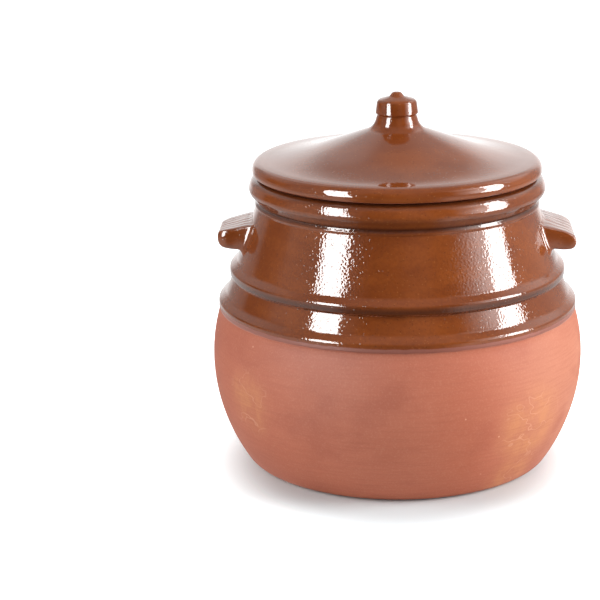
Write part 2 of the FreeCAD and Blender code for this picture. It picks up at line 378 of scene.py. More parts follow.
def round_corner(piece, before, corner, after, rounding):
    """Bevel one corner of a drawn line to a round of that radius."""
    turned_by = (corner - before).angle(after - corner)
    choose(piece, lambda place: (place - corner).length < touching)
    bpy.ops.mesh.bevel(
        offset=rounding * math.tan(turned_by / 2), segments=round_segments, affect="VERTICES")


def cut_long_runs(piece):
    """Cut the long straight runs of a drawn line, so that the turned wall can be uneven."""
    mesh = bmesh.from_edit_mesh(piece.data)
    cuts = sorted({int(edge.calc_length() / longest_run) for edge in mesh.edges})
    for count in cuts[1:] if cuts[0] == 0 else cuts:
        mesh = bmesh.from_edit_mesh(piece.data)
        for edge in mesh.edges:
            edge.select = int(edge.calc_length() / longest_run) == count
        bmesh.update_edit_mesh(piece.data)
        bpy.ops.mesh.subdivide(number_cuts=count)


def draw_line(name, stations, closed):
    """A line of edges through stations of radius, height and round, left in edit mode.

    Its first vertex is a small plane that is merged into one point.
    """
    corners = [Vector((radius, 0, height)) for radius, height, _ in stations]
    bpy.ops.object.select_all(action="DESELECT")
    bpy.ops.mesh.primitive_plane_add(size=mm)
    piece = bpy.context.object
    piece.name = name
    bpy.ops.object.mode_set(mode="EDIT")
    bpy.ops.mesh.select_mode(type="VERT")
    bpy.ops.mesh.merge(type="CENTER")
    bpy.ops.transform.translate(value=corners[0])
    for start, end in zip(corners, corners[1:]):
        bpy.ops.mesh.extrude_region_move(TRANSFORM_OT_translate={"value": end - start})
    if closed:
        choose(piece, lambda place: min(
            (place - corners[0]).length, (place - corners[-1]).length) < touching)
        bpy.ops.mesh.edge_face_add()
    for index, (_, _, rounding) in enumerate(stations):
        if rounding:
            round_corner(
                piece, corners[index - 1], corners[index],
                corners[(index + 1) % len(corners)], rounding)
    return piece


def turn(name, stations, closed=False):
    """The closed skin that a section makes when it is spun about the pot's axis."""
    piece = draw_line(name, stations, closed)
    cut_long_runs(piece)
    bpy.ops.mesh.select_all(action="SELECT")
    bpy.ops.mesh.spin(steps=turn_steps, angle=math.tau, center=(0, 0, 0), axis=(0, 0, 1))
    bpy.ops.mesh.select_all(action="SELECT")
    bpy.ops.mesh.remove_doubles(threshold=touching)
    bpy.ops.mesh.normals_make_consistent(inside=False)
    bpy.ops.object.mode_set(mode="OBJECT")
    bpy.ops.object.shade_smooth_by_angle(angle=smooth_angle)
    print(name, "turned:", len(piece.data.polygons), "faces")
    return piece


def arc(centre_radius, centre_height, radius, start, end, count):
    """Stations along an arc of the section, its angles in degrees above level, both ends kept."""
    stations = []
    for index in range(count + 1):
        angle = math.radians(start + (end - start) * index / count)
        stations.append((
            centre_radius + radius * math.cos(angle),
            centre_height + radius * math.sin(angle), 0))
    return stations


def inset_line(stations, depth):
    """The same line, moved towards the axis and down by a small depth."""
    return [(radius - depth, height - depth, rounding) for radius, height, rounding in stations]


def outset_line(stations, depth):
    """The same line, moved away from the axis and down by a small depth."""
    return [(radius + depth, height - depth, rounding) for radius, height, rounding in stations]


# %% [markdown]
# ## A hand's unevenness
#
# No thrown pot is a true solid of revolution. Two displace modifiers push the wall sideways by a
# fraction of a millimetre, over patches as wide as a palm. They move nothing up or down, so the
# base stays flat on the table and the lid stays level on the rim.

# %% Wobble
wobble_depth = 0.7 * mm
wobble_size = 70 * mm
wobble_clouds = {}
for axis, basis in (("X", "BLENDER_ORIGINAL"), ("Y", "IMPROVED_PERLIN")):
    clouds = bpy.data.textures.new("wobble_" + axis.lower(), "CLOUDS")
    clouds.noise_basis = basis
    clouds.noise_scale = wobble_size
    clouds.noise_depth = 1
    wobble_clouds[axis] = clouds


def wobble(piece):
    """Push a turned piece out of true with both clouds."""
    bpy.ops.object.select_all(action="DESELECT")
    piece.select_set(True)
    bpy.context.view_layer.objects.active = piece
    for axis, clouds in wobble_clouds.items():
        push = piece.modifiers.new("wobble_" + axis.lower(), "DISPLACE")
        push.texture = clouds
        push.texture_coords = "LOCAL"
        push.direction = axis
        push.strength = wobble_depth
        push.mid_level = 0.5
        bpy.ops.object.modifier_apply(modifier=push.name)


print("wobble: %.1f mm over %.0f mm" % (wobble_depth / mm, wobble_size / mm))

# %% [markdown]
# ## The pot's section
#
# The belly is two arcs that meet at its widest place. Above it two collars were pressed out of
# the wall with a finger, each with a soft lip below and a small shelf above. The neck leans in
# to a thin ridge and a groove, and a heavy bead makes the rim.

# %% Section of the outside
belly_radius = 135 * mm
belly_height = 78 * mm
lower_belly_arc = 131.5 * mm
upper_belly_arc = 117 * mm
base_edge_round = 10 * mm
border_height = 113.2 * mm

lower_centre = belly_radius - lower_belly_arc
upper_centre = belly_radius - upper_belly_arc
round_centre_radius = lower_centre + math.sqrt(
    (lower_belly_arc - base_edge_round) ** 2 - (belly_height - base_edge_round) ** 2)
foot_angle = math.degrees(math.atan2(
    base_edge_round - belly_height, round_centre_radius - lower_centre))
border_angle = math.degrees(math.asin((border_height - belly_height) / upper_belly_arc))
belly_line = (
    arc(round_centre_radius, base_edge_round, base_edge_round, -90, foot_angle, count=6)
    + arc(lower_centre, belly_height, lower_belly_arc, foot_angle, 0, count=18)[1:]
    + arc(upper_centre, belly_height, upper_belly_arc, 0, border_angle, count=8)[1:])
border_radius = belly_line[-1][0]
print("belly: foot at %.1f mm, border at %.1f mm" % (belly_line[0][0] / mm, border_radius / mm))

# %% Section of the collars, neck and rim
collar_under = 2.1 * mm
collar_height = 7.3 * mm
collar_lip_round = 1.4 * mm
collar_crest_round = 2.2 * mm
shelf_run = 5.6 * mm
shelf_rise = 4.1 * mm
shelf_round = 5.0 * mm
lower_collar_proud = 0.8 * mm
upper_collar_proud = 2.1 * mm
band_height = 12.6 * mm
band_taper = 5.0 * mm
notch_round = 0.35 * mm
neck_height = 40.2 * mm
neck_taper = 14.2 * mm
ridge_proud = 0.8 * mm
ridge_under = 1.1 * mm
ridge_top = 2.1 * mm
groove_sunk = 0.7 * mm
groove_rise = 3.9 * mm
groove_round = 0.5 * mm
rim_overhang = 5.8 * mm
rim_height = 18.4 * mm
rim_waist = 8.3 * mm
rim_waist_round = 5.0 * mm
rim_lean = 3.5 * mm
rim_top_round = 8.0 * mm
rim_thickness = 15.1 * mm
rim_crest_inset = 10.1 * mm


def collar(foot_radius, foot_height, crest_proud):
    """Stations of one collar: under its lip, its crest, and the back of its shelf."""
    crest = foot_radius + crest_proud
    top = foot_height + collar_height
    return [
        (crest, foot_height + collar_under, collar_lip_round),
        (crest, top, collar_crest_round),
        (crest - shelf_run, top + shelf_rise, shelf_round)]


lower_collar = collar(border_radius, border_height, lower_collar_proud)
notch = (lower_collar[-1][0] - band_taper, lower_collar[-1][1] + band_height, notch_round)
upper_collar = collar(notch[0], notch[1], upper_collar_proud)
neck_top_radius = upper_collar[-1][0] - neck_taper
neck_top_height = upper_collar[-1][1] + neck_height
rim_radius = neck_top_radius + rim_overhang
groove_height = neck_top_height + groove_rise
rim_top = groove_height + rim_height
mouth_radius = rim_radius - rim_thickness
crest_radius = rim_radius - rim_crest_inset
neck_and_rim = [
    (neck_top_radius, neck_top_height, groove_round),
    (neck_top_radius + ridge_proud, neck_top_height + ridge_under, groove_round),
    (neck_top_radius + ridge_proud, neck_top_height + ridge_top, groove_round),
    (neck_top_radius - groove_sunk, groove_height, groove_round),
    (rim_radius, groove_height + rim_waist, rim_waist_round),
    (rim_radius - rim_lean, rim_top, rim_top_round),
    (crest_radius, rim_top, 0)]
glazed_line = (
    [(border_radius, border_height, 0)] + lower_collar + [notch] + upper_collar + neck_and_rim)
print("rim: radius %.1f mm, top at %.1f mm" % (rim_radius / mm, rim_top / mm))

# %% Section of the inside
wall_thickness = 7 * mm
floor_thickness = 8 * mm
floor_corner_round = 16 * mm
mouth_round = 4.0 * mm
ledge_depth = 10 * mm
ledge_width = 2.2 * mm
ledge_fall = 1.2 * mm
ledge_round = 0.9 * mm
neck_inside_round = 4.0 * mm
shoulder_height = border_height + 20 * mm

inner_lower_arc = lower_belly_arc - wall_thickness
inner_upper_arc = upper_belly_arc - wall_thickness
corner_height = floor_thickness + floor_corner_round
corner_radius = lower_centre + math.sqrt(
    (inner_lower_arc - floor_corner_round) ** 2 - (belly_height - corner_height) ** 2)
corner_angle = math.degrees(math.atan2(
    corner_height - belly_height, corner_radius - lower_centre))
shoulder_angle = math.degrees(math.asin((shoulder_height - belly_height) / inner_upper_arc))
inside_line = [
    (crest_radius, rim_top, 0),
    (mouth_radius, rim_top, mouth_round),
    (mouth_radius, rim_top - ledge_depth, ledge_round),
    (mouth_radius - ledge_width, rim_top - ledge_depth - ledge_fall, ledge_round),
    (neck_top_radius - wall_thickness, neck_top_height, neck_inside_round)]
inside_line += arc(
    upper_centre, belly_height, inner_upper_arc, shoulder_angle, 0, count=10)
inside_line += arc(
    lower_centre, belly_height, inner_lower_arc, 0, corner_angle, count=14)[1:]
inside_line += arc(
    corner_radius, corner_height, floor_corner_round, corner_angle, -90, count=6)[1:]
inside_line += [(0, floor_thickness, 0)]
print("inside: mouth radius %.1f mm" % (mouth_radius / mm))

# %% [markdown]
# ## Clay body and glaze coats
#
# The clay is one turned shell with a floor. The glaze is a coat a fraction of a millimetre thick
# over the upper outside, the rim and the whole inside. It could be a mere change of material on
# the clay, but a real coat ends in a soft step that catches the light, so it gets its own skin.
# The coat's back lies a little deeper than the clay's face, so that nothing shows between them.

# %% Turn the clay body
coat = 0.4 * mm
coat_back = 1.5 * coat
clay_line = (
    [(0, 0, 0)] + belly_line
    + inset_line(glazed_line[1:-1], coat)
    + outset_line(inside_line[1:-1], coat)
    + [(0, floor_thickness - coat, 0)])
clay_pot = turn("clay_pot", clay_line)
wobble(clay_pot)
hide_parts("pot_wall")
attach(clay_pot, "pot")

# %% Turn the outer glaze
step_proud = 0.25 * mm
step_foot = 0.3 * mm
step_top = 0.5 * mm
step_round = 0.15 * mm
outer_line = (
    [(border_radius - coat, border_height + step_foot, 0)]
    + [(border_radius + step_proud, border_height + step_top, step_round)]
    + glazed_line[1:]
    + [(crest_radius, rim_top - coat, 0)]
    + inset_line(glazed_line[1:-1], coat_back)[::-1])
outer_glaze = turn("glaze_outside", outer_line, closed=True)
wobble(outer_glaze)
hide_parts("outer_glaze")
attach(outer_glaze, "pot")

# %% Turn the inner glaze
inner_line = (
    inside_line
    + [(0, floor_thickness - coat_back, 0)]
    + outset_line(inside_line[1:-1], coat)[::-1]
    + [(crest_radius, rim_top - coat, 0)])
inner_glaze = turn("glaze_inside", inner_line, closed=True)
wobble(inner_glaze)
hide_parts("inner_glaze")
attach(inner_glaze, "pot")

# %% [markdown]
# ## The lid
#
# The lid is thrown upside down, with a flange that drops into the mouth. Its top is a wide,
# low hat: a straight cone that runs up to the knob, a hollow foot where it flattens out, a nearly
# level brim and a rolled edge. A plain dome would be quicker, but the hollow foot matters,
# because it mirrors the knob a second time.

# %% Section of the lid
lid_clearance = 0.3 * mm
rim_in_sight = 2.9 * mm
edge_lift = 0.9 * mm
edge_height = 8.9 * mm
edge_run = 4.4 * mm
edge_undercut = 0.6 * mm
edge_under_round = 1.2 * mm
edge_top_round = 6.2 * mm
brim_rise = 2.2 * mm
slope_foot = 75.5 * mm
slope_foot_round = 130 * mm
slope_rise = 21.1 * mm
knob_corner = 16.9 * mm

seat_height = rim_top + lid_clearance
lid_radius = rim_radius - rim_in_sight
edge_bottom = seat_height + edge_lift
edge_top = edge_bottom + edge_height
slope_foot_height = edge_top + brim_rise
knob_corner_height = slope_foot_height + slope_rise
lip_start = lid_radius - edge_run
lid_top_line = [
    (lip_start, edge_bottom, 0),
    (lid_radius - edge_undercut, edge_bottom, edge_under_round),
    (lid_radius, edge_top, edge_top_round),
    (slope_foot, slope_foot_height, slope_foot_round)]

# %% Section of the lid's underside
lid_wall = 7 * mm
crown_inner = 22 * mm
crown_drop = 9.6 * mm
crown_round = 12 * mm
slope_inner_inset = 1.5 * mm
slope_inner_round = 120 * mm
brim_inner_rise = 1.6 * mm
flange_clearance = 2.1 * mm
flange_thickness = 6 * mm
flange_depth = 12 * mm
flange_root_round = 6 * mm
flange_round = 2 * mm
seat_run = 0.9 * mm
seat_round = 0.7 * mm

crown_inner_height = knob_corner_height - crown_drop
flange_radius = mouth_radius - ledge_width - flange_clearance
flange_inner = flange_radius - flange_thickness
flange_bottom = seat_height - flange_depth
lid_under_line = [
    (0, crown_inner_height, 0),
    (crown_inner, crown_inner_height, crown_round),
    (slope_foot - slope_inner_inset, slope_foot_height - lid_wall, slope_inner_round),
    (flange_inner, edge_top + brim_inner_rise - lid_wall, flange_root_round),
    (flange_inner, flange_bottom, flange_round),
    (flange_radius, flange_bottom, flange_round),
    (flange_radius, seat_height, seat_round),
    (lip_start - seat_run, seat_height, seat_round)]
print("lid: radius %.1f mm, slope foot at %.1f mm" % (lid_radius / mm, slope_foot_height / mm))

# %% Section of the knob
knob_foot_round = 10.0 * mm
knob_edge_round = 0.7 * mm
stem_radius = 14.7 * mm
stem_height = 7.7 * mm
stem_step_in = 0.6 * mm
stem_step_up = 1.4 * mm
head_lift = 2.8 * mm
head_radius = 15.5 * mm
head_height = 9.4 * mm
head_taper = 1.3 * mm
head_round = 3.5 * mm
tip_foot_radius = 5.4 * mm
tip_foot_rise = 2.3 * mm
tip_foot_round = 1.2 * mm
tip_radius = 3.0 * mm
tip_height = 3.2 * mm
tip_round = 2.6 * mm

stem_top = knob_corner_height + stem_height
head_bottom = stem_top + head_lift
head_top = head_bottom + head_height
tip_foot = head_top + tip_foot_rise
tip_top = tip_foot + tip_height
knob_line = [
    (knob_corner, knob_corner_height, knob_foot_round),
    (stem_radius, stem_top, knob_edge_round),
    (stem_radius - stem_step_in, stem_top + stem_step_up, knob_edge_round),
    (head_radius, head_bottom, knob_edge_round),
    (head_radius - head_taper, head_top, head_round),
    (tip_foot_radius, tip_foot, tip_foot_round),
    (tip_radius, tip_top, tip_round),
    (0, tip_top, 0)]
print("knob: top at %.1f mm" % (tip_top / mm))

# %% Turn the lid's clay, its glaze and the knob
lid_clay_line = (
    lid_under_line
    + [(lip_start, edge_bottom, 0)]
    + inset_line(lid_top_line[1:], coat)
    + [(knob_corner, knob_corner_height - coat, 0), (0, knob_corner_height - coat, 0)])
lid_clay = turn("lid_clay", lid_clay_line)
wobble(lid_clay)
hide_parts("lid_plate")
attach(lid_clay, "lid")

knob_foot_edge = 23.0 * mm
slope = (knob_corner_height - slope_foot_height) / (slope_foot - knob_corner)
knob_foot_edge_height = knob_corner_height - slope * (knob_foot_edge - knob_corner)
lid_glaze_line = (
    lid_top_line
    + [(knob_foot_edge, knob_foot_edge_height, 0)]
    + [(knob_foot_edge, knob_foot_edge_height - 2 * coat, 0)]
    + inset_line(lid_top_line[1:], coat_back)[::-1])
lid_glaze = turn("glaze_lid", lid_glaze_line, closed=True)
wobble(lid_glaze)
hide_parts("lid_glaze")
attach(lid_glaze, "lid")

knob = turn("lid_knob_glazed", (
    [(0, knob_foot_edge_height - coat, 0), (knob_foot_edge, knob_foot_edge_height - coat, 0)]
    + [(knob_foot_edge, knob_foot_edge_height, 0)] + knob_line))
wobble(knob)
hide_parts("lid_knob")
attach(knob, "lid")

# %% [markdown]
# ## Ears
#
# Each ear is a slab of clay pulled out by hand and pressed onto the neck, with its root smeared
# out over the wall. It could be a rounded box, but the smeared root is what makes it grow out of
# the pot. So a block is extruded outwards section by section, its first rings are wrapped onto
# the neck, and subdivision rounds the whole. Only the upper edges are bevelled first, so they
# stay crisp while the underside rolls round like a fingertip. The two ears differ, as a hand
# leaves them: the left one is narrower and blunt, the right one droops.

# %% Ear helpers
ear_strips = 12
ear_edge_round = 1.4 * mm
ear_smoothing = 3
crosswise = 10 * mm
ridge_height = 0.45 * mm
ridge_facing = 0.6
root_lifts = (-2.5 * mm, 0.1 * mm, 0.8 * mm, 1.9 * mm, 3.6 * mm)
outside_reach = 30 * mm


def section_centre(section, side):
    reach, top, under, front, back = section
    return Vector((side * reach, (front + back) / 2, (top + under) / 2))


def fit_section(old, new, side):
    """Carry the selected face from one section to the next."""
    middle = section_centre(new, side)
    bpy.ops.transform.translate(value=middle - section_centre(old, side))
    bpy.ops.transform.resize(
        value=(1, (new[4] - new[3]) / (old[4] - old[3]), (new[1] - new[2]) / (old[1] - old[2])),
        center_override=middle)


def choose_edges(piece, test):
    """Select, in edit mode, the edges whose two ends pass a test."""
    mesh = bmesh.from_edit_mesh(piece.data)
    mesh.select_mode = {"EDGE"}
    for edge in mesh.edges:
        first, second = (corner.co for corner in edge.verts)
        edge.select = test(first, second)
    mesh.select_flush_mode()
    bmesh.update_edit_mesh(piece.data)


def press_ridges(piece, start):
    """Raise every other strip of the ear's top, as fingers leave it."""
    bpy.ops.mesh.select_all(action="DESELECT")
    bpy.ops.mesh.select_mode(type="VERT")
    mesh = bmesh.from_edit_mesh(piece.data)
    rows = {}
    for vertex in mesh.verts:
        if vertex.normal.z > ridge_facing and abs(vertex.co.x) > start:
            rows.setdefault(round(abs(vertex.co.x) / mm, 1), []).append(vertex)
    for row in rows.values():
        row.sort(key=lambda vertex: vertex.co.y)
        for vertex in row[1::2]:
            vertex.select = True
    mesh.select_flush_mode()
    bmesh.update_edit_mesh(piece.data)
    bpy.ops.transform.translate(value=(0, 0, ridge_height))


def wrap_root(piece, root):
    """Lay each ring of the root over the glazed neck, lifted off it or sunk into it."""
    for (reach, top, under, front, back), lift in zip(root, root_lifts):
        ring = [v.index for v in piece.data.vertices if abs(abs(v.co.x) - reach) < touching]
        for index in ring:
            piece.data.vertices[index].co.x *= (reach + outside_reach) / reach
        group = piece.vertex_groups.new(name="ring %.1f" % (lift / mm))
        group.add(ring, 1.0, "REPLACE")
        wrap = piece.modifiers.new(group.name, "SHRINKWRAP")
        wrap.target = outer_glaze
        wrap.vertex_group = group.name
        wrap.wrap_method = "PROJECT"
        wrap.wrap_mode = "ABOVE_SURFACE"
        wrap.use_project_x = True
        wrap.use_positive_direction = True
        wrap.use_negative_direction = True
        wrap.offset = lift
    for wrap in list(piece.modifiers):
        bpy.ops.object.modifier_apply(modifier=wrap.name)
    piece.vertex_groups.clear()


print("ear: %d strips, root of %d rings" % (ear_strips, len(root_lifts)))


# %% Pull the ears
block_half = 0.5
block_end = (block_half, -block_half, -block_half, block_half)


def pull_ear(name, side, root, body):
    """An ear, from a block whose one end is extruded from section to section.

    The root's sections are laid on the neck, the body's stand free. Each is a reach, a top, an
    underside, a front and a back, in millimetres.
    """
    root, body = ([[value * mm for value in section] for section in part] for part in (root, body))
    sections = root + body
    bpy.ops.object.select_all(action="DESELECT")
    bpy.ops.mesh.primitive_cube_add(size=2 * block_half)
    piece = bpy.context.object
    piece.name = name
    bpy.ops.object.mode_set(mode="EDIT")
    bpy.ops.mesh.select_mode(type="VERT")
    choose(piece, lambda place: place.x * side < 0)
    fit_section((-block_half,) + block_end, sections[0], side)
    choose(piece, lambda place: place.x * side > block_half / 2)
    fit_section((block_half,) + block_end, sections[1], side)
    for old, new in zip(sections[1:], sections[2:]):
        bpy.ops.mesh.extrude_region_move()
        fit_section(old, new, side)
    middle_height = (body[0][1] + body[0][2]) / 2
    edge_start = root[2][0] - touching
    tip_reach = body[-1][0] - touching
    choose_edges(piece, lambda first, second: (
        min(first.z, second.z) > middle_height
        and min(abs(first.x), abs(second.x)) > edge_start
        and (abs(first.x - second.x) > touching or abs(first.x) > tip_reach)))
    bpy.ops.mesh.bevel(offset=ear_edge_round, segments=1, affect="EDGES")
    choose_edges(piece, lambda first, second: abs(first.y - second.y) > crosswise)
    bpy.ops.mesh.subdivide(number_cuts=ear_strips)
    bpy.ops.mesh.select_all(action="SELECT")
    bpy.ops.mesh.normals_make_consistent(inside=False)
    press_ridges(piece, edge_start)
    bpy.ops.object.mode_set(mode="OBJECT")
    wrap_root(piece, root)
    rounded = piece.modifiers.new("rounded", "SUBSURF")
    rounded.levels = ear_smoothing
    rounded.render_levels = ear_smoothing
    bpy.ops.object.modifier_apply(modifier="rounded")
    bpy.ops.object.shade_smooth()
    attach(piece, "pot")
    print(piece.name, "pulled:", len(piece.data.polygons), "faces")
    return piece


left_ear = pull_ear("ear_left", -1, [
    (98, 180.5, 153.5, -32.0, 20.0), (100, 179.4, 154.8, -31.2, 19.0),
    (102, 178.0, 156.4, -29.9, 18.0), (104, 177.1, 157.8, -28.6, 17.2),
    (106, 176.6, 159.0, -27.6, 16.9),
], [
    (117.0, 175.3, 160.0, -27.0, 17.0), (121.0, 174.6, 160.5, -26.8, 16.2),
    (124.0, 173.9, 161.0, -26.4, 14.0), (126.6, 173.2, 162.0, -25.3, 10.5),
    (129.0, 172.4, 165.0, -23.4, 6.0)])
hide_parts("ear_handle_left")
right_ear = pull_ear("ear_right", 1, [
    (98, 181.3, 154.0, -35.0, 32.5), (100, 180.0, 155.6, -34.0, 31.6),
    (102, 178.0, 157.6, -32.2, 29.8), (104, 176.8, 159.4, -30.6, 28.6),
    (106, 176.0, 160.0, -29.8, 28.2),
], [
    (117.0, 174.0, 159.9, -28.9, 28.2), (121.0, 172.8, 159.8, -28.4, 28.2),
    (124.0, 171.4, 159.9, -28.0, 28.2), (126.4, 170.0, 160.6, -27.6, 28.0),
    (128.4, 168.4, 163.4, -26.8, 26.8)])
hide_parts("ear_handle_right")

# %% [markdown]
# ## Fired clay and glaze
#
# Red clay fires unevenly: blotches where flame or damp touched it, faint lines from the throwing,
# pale grit and a few scratches. On top of these the clay carries painted light: a belt of painted
# shade on the upper belly below the glaze, and a painted sheen on the belly's right side. The
# glaze over it is a clear honey brown with an orange-peel skin, pinholes and small grains that
# break up the edge of every reflection. Bands of painted shade darken it in the grooves, where it
# also runs thick, and on the rim under the lid; it is matt where it dies out over the clay.
#
# Painted pictures could give all this, but they would have to be wrapped onto every piece.
# Patterns worked out from a point's own place need no wrapping and stay sharp from close by.

# %% Shared effect: mottling
mottling_roughness = 0.55
dot_core = 0.35


def build_mottling():
    """Slow changes of tone over the surface. Stretch draws them out round the pot."""
    group, given, result = open_group(
        "mottling", {"Size": 30.0, "Stretch": 1.0, "Shift": 0.0, "Detail": 4.0},
        {"Tone": "Float"})
    squeeze = add_node(group, "CombineXYZ", None, {
        0: 1.0, 1: 1.0, 2: given["Stretch"]}).outputs[0]
    drawn = vector_math(group, "MULTIPLY", own_place(group), squeeze)["Vector"]
    moved = vector_math(group, "ADD", drawn, given["Shift"])["Vector"]
    tone = noise(group, moved, given["Size"], given["Detail"], mottling_roughness)
    group.links.new(tone, result["Tone"])
    return group


mottling = build_mottling()


def scattered_dots(tree, scale, radius, density, seed):
    """Round dots in some of the cells of a grid as fine as the scale."""
    shift = (seed, seed / 2, seed / 3)
    shifted = vector_math(tree, "ADD", own_place(tree), shift)["Vector"]
    cell = add_node(tree, "TexVoronoi", None, {"Vector": shifted, "Scale": scale})
    spot = fade(tree, cell.outputs["Distance"], radius, radius * dot_core)
    luck = parts(tree, cell.outputs["Color"])["X"]
    return math_node(tree, "MULTIPLY", spot, math_node(tree, "LESS_THAN", luck, density))


print("mottling:", [socket.name for socket in mottling.interface.items_tree])

# %% Shared effect: glaze skin
peel_detail = 0.5
slow_detail = 1.0
swell_scale = 60.0
swell_height = 0.08
calm_scale = 24.0
calm_fade = (0.40, 0.60, 0.35, 1.0)
pinhole_dots = {"scale": 470.0, "radius": 0.26, "density": 0.42, "seed": 3.7}
pinhole_depth = 0.05
grain_dots = {"scale": 480.0, "radius": 0.24, "density": 0.40, "seed": 9.1}
grain_height = 0.035


def build_glaze_skin():
    """Height of the glaze's skin in millimetres, and masks of its pinholes and grains."""
    group, given, result = open_group(
        "glaze_skin", {"Peel Size": 600.0, "Peel Depth": 0.13},
        {"Height": "Float", "Pinholes": "Float", "Grains": "Float"})
    place = own_place(group)
    peel = noise(group, place, given["Peel Size"], peel_detail)
    swell = noise(group, place, swell_scale, slow_detail)
    pinholes = scattered_dots(group, **pinhole_dots)
    grains = scattered_dots(group, **grain_dots)
    calm = noise(group, place, calm_scale, slow_detail)
    depth = math_node(group, "MULTIPLY", given["Peel Depth"], fade(group, calm, *calm_fade))
    skin = math_node(group, "MULTIPLY", peel, depth)
    for mask, height in (
            (swell, swell_height), (pinholes, -pinhole_depth), (grains, grain_height)):
        skin = math_node(group, "MULTIPLY_ADD", mask, height, skin)
    for label, socket in (("Height", skin), ("Pinholes", pinholes), ("Grains", grains)):
        group.links.new(socket, result[label])
    return group


glaze_skin = build_glaze_skin()
print("glaze skin:", [socket.name for socket in glaze_skin.interface.items_tree])

# %% Colours and patterns of the fired clay
clay_red = (0.455, 0.117, 0.057, 1)
clay_rose = (0.510, 0.145, 0.077, 1)
# Dark clay, for smudges and throwing lines, and also for the belt of painted shade.
clay_dark_and_shade = (0.380, 0.090, 0.045, 1)
clay_ochre = (0.640, 0.255, 0.100, 1)
# Pale clay, for grit, fine grain and scratches, and also for the painted sheen.
clay_pale_and_sheen = (0.700, 0.340, 0.210, 1)
flame_marks = [
    ((93 * mm, -91 * mm, 50 * mm), 40 * mm), ((-103 * mm, -84 * mm, 64 * mm), 30 * mm),
    ((78 * mm, -80 * mm, 14 * mm), 30 * mm), ((20 * mm, 130 * mm, 60 * mm), 25 * mm)]
# Painted sheen: a pale spot on the belly's right side, where the lamps light the clay most.
painted_sheen_side = ((118 * mm, -50 * mm, 80 * mm), 105 * mm)
spot_core = 0.3
# Painted shade: a darker belt on the upper belly, just below the glaze.
belly_shade_heights = (82 * mm, 112 * mm)
clay_tones = {
    "cloud": {"Size": 9.0, "Shift": 2.3},
    "smudge": {"Size": 18.0, "Stretch": 1.4, "Shift": 6.1},
    "patch": {"Size": 60.0, "Stretch": 0.8, "Shift": 7.9},
    "fine": {"Size": 800.0, "Shift": 1.1},
    "lines": {"Size": 34.0, "Stretch": 19.0, "Shift": 3.3},
    "curl": {"Size": 36.0, "Stretch": 1.6, "Shift": 12.7, "Detail": 2.0}}
tone_fades = {
    "cloud": (0.35, 0.68), "smudge": (0.50, 0.72), "patch": (0.35, 0.65, 0.15, 0.65),
    "fine": (0.45, 0.75), "lines": (0.40, 0.70)}
grit_dots = {"scale": 170.0, "radius": 0.16, "density": 0.02, "seed": 5.5}
scratch_width = (0.010, 0.002)
painted_sheen_share = 0.30
smudge_share = 0.55
line_share = 0.26
belly_shade_share = 0.28
fine_share = 0.14
grit_share = 0.8
scratch_share = 0.5
line_height = 0.05
fine_height = 0.04
print("clay:", len(clay_tones), "tones and", len(flame_marks), "flame marks")


# %% Shared effect: fired clay
def soft_spot(tree, centre, reach):
    """A round mask that fades out from a place on the piece."""
    away = vector_math(tree, "DISTANCE", own_place(tree), centre)["Value"]
    return fade(tree, away, reach, reach * spot_core)


def build_fired_clay():
    """Colour of the bare clay, and the height of its skin in millimetres."""
    group, _, result = open_group("fired_clay", {}, {"Colour": "Color", "Height": "Float"})
    tones = {
        name: place_group(group, mottling, values)["Tone"]
        for name, values in clay_tones.items()}
    shows = {name: fade(group, tones[name], *limits) for name, limits in tone_fades.items()}
    flame = 0.0
    for centre, reach in flame_marks:
        flame = math_node(group, "MAXIMUM", soft_spot(group, centre, reach), flame)
    height = parts(group, own_place(group))["Z"]
    off_curl = math_node(
        group, "ABSOLUTE", math_node(group, "SUBTRACT", tones["curl"], 0.5))
    scratch = math_node(group, "MULTIPLY", fade(group, off_curl, *scratch_width), flame)
    colour = mix_colour(group, shows["cloud"], clay_red, clay_rose)
    for mask, share, second in (
            # The pale spot is a painted sheen on the lit right side.
            (soft_spot(group, *painted_sheen_side), painted_sheen_share, clay_pale_and_sheen),
            (shows["smudge"], smudge_share, clay_dark_and_shade),
            (flame, shows["patch"], clay_ochre),
            (shows["lines"], line_share, clay_dark_and_shade),
            # The belt between these heights is painted shade on the upper belly.
            (fade(group, height, *belly_shade_heights), belly_shade_share, clay_dark_and_shade),
            (shows["fine"], fine_share, clay_pale_and_sheen),
            (scattered_dots(group, **grit_dots), grit_share, clay_pale_and_sheen),
            (scratch, scratch_share, clay_pale_and_sheen)):
        colour = tint(group, colour, mask, share, second)
    skin = math_node(group, "MULTIPLY", tones["fine"], fine_height)
    skin = math_node(group, "MULTIPLY_ADD", tones["lines"], line_height, skin)
    group.links.new(colour, result["Colour"])
    group.links.new(skin, result["Height"])
    return group


fired_clay = build_fired_clay()
print("fired clay:", [socket.name for socket in fired_clay.interface.items_tree])

# %% Colours and patterns of the glaze
honey = (0.198, 0.0455, 0.0102, 1)
amber = (0.248, 0.0600, 0.0125, 1)
mauve = (0.275, 0.078, 0.048, 1)
pinhole_brown = (0.080, 0.020, 0.007, 1)
grain_amber = (0.420, 0.150, 0.040, 1)
speckle_brown = (0.105, 0.026, 0.009, 1)
# Brown of painted shade, laid over the glaze in its grooves and on the rim under the lid.
shade_band_brown = (0.045, 0.012, 0.005, 1)
glaze_tone = {"Size": 22.0, "Stretch": 2.5}
glaze_fade = (0.38, 0.66)
grain_share = 0.45
pinhole_share = 0.60
pinhole_roughness = 0.12
speckle_tone = {"Size": 430.0, "Shift": 5.2, "Detail": 2.0}
speckle_fade = (0.42, 0.66)
speckle_share = 0.18
